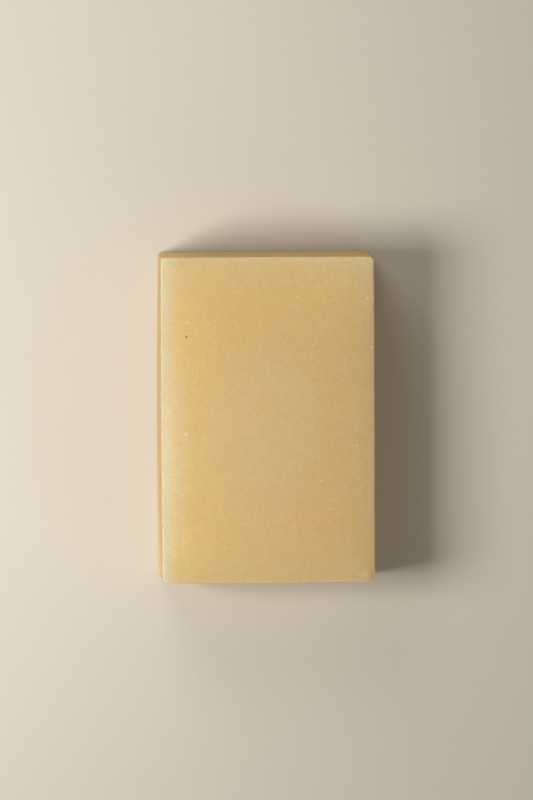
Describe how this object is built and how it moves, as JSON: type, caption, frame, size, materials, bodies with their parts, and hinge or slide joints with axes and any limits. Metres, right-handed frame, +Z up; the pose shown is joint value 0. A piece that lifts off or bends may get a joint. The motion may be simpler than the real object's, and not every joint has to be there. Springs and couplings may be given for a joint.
{
  "type": "bar of soap",
  "caption": "Plain rectangular bar of soap cut by hand from a loaf, with flat broad faces, slightly flared sides and softly worn edges.",
  "frame": {"origin": "under the middle of the bar's bounding box, on the surface that the bar lies on", "axes": "+X across the bar to the right, +Y along its length towards the back end (the picture's upper end), +Z up"},
  "size_m": [0.0572, 0.0862, 0.025],
  "materials": {
    "soap": "dry, waxy matt soap, cream yellow, paler along its dried edges"
  },
  "bodies": {
    "root": {"soap_bar": "soap"}
  },
  "joints": []
}
